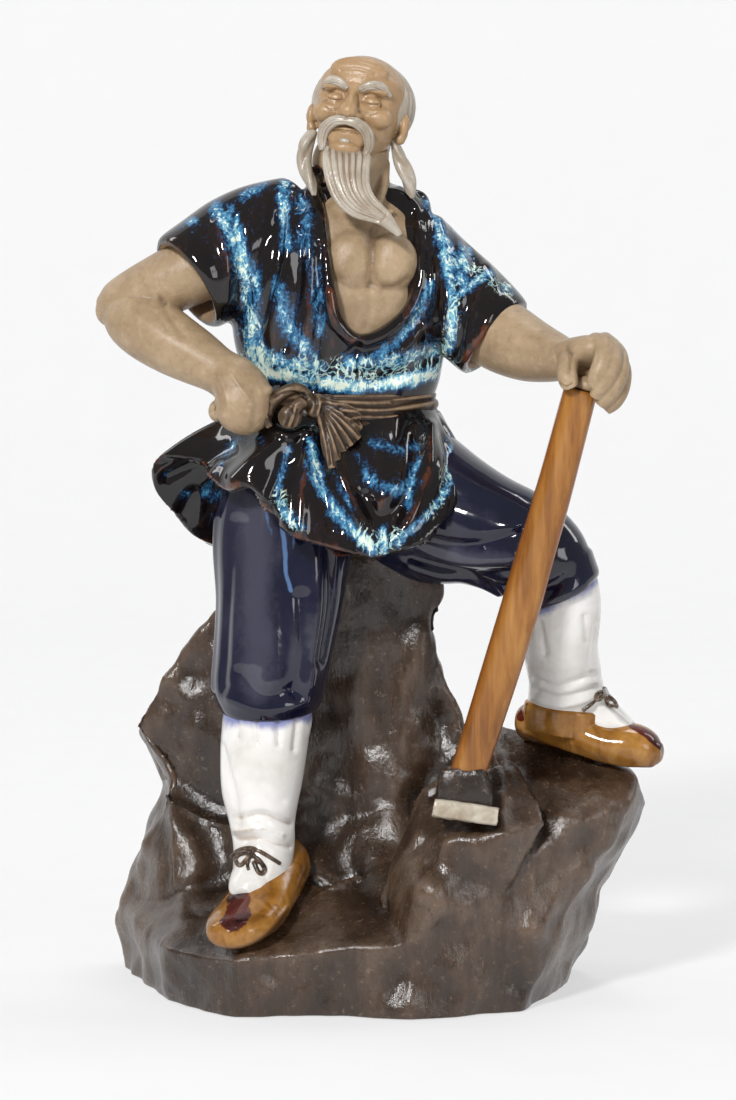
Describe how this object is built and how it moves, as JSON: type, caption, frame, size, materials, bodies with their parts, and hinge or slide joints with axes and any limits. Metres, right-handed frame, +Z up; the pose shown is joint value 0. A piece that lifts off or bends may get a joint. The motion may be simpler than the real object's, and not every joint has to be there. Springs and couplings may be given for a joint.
{
  "type": "mudman figurine",
  "caption": "Glazed stoneware figurine of a bearded woodcutter on a rock, one fist on the hip and the other hand on an upright tool shaft.",
  "frame": {"origin": "a point near the middle of the flat underside of the rock, which rests on a shelf", "axes": "+Z up, -Y towards the viewer that the figure faces, +X towards the hand on the tool shaft"},
  "size_m": [0.1781, 0.1215, 0.2947],
  "materials": {
    "rock_glaze": "dark brown satin glaze with rust spots",
    "shaft_glaze": "glossy streaked amber glaze",
    "jacket_glaze": "glossy black-brown glaze with runs of blue and cream",
    "trouser_glaze": "glossy dark cobalt glaze",
    "stocking_glaze": "glossy white glaze, tan in the creases",
    "shoe_glaze": "glossy amber-brown glaze",
    "sash_glaze": "bronze-brown half-gloss glaze",
    "bare_clay": "unglazed tan stoneware",
    "hair_glaze": "off-white glaze, tan in the grooves",
    "tool_glaze": "dark brown glaze with a cream front"
  },
  "bodies": {
    "root": {"figure_on_rock": "rock_glaze", "tool_shaft": "shaft_glaze"}
  },
  "joints": []
}
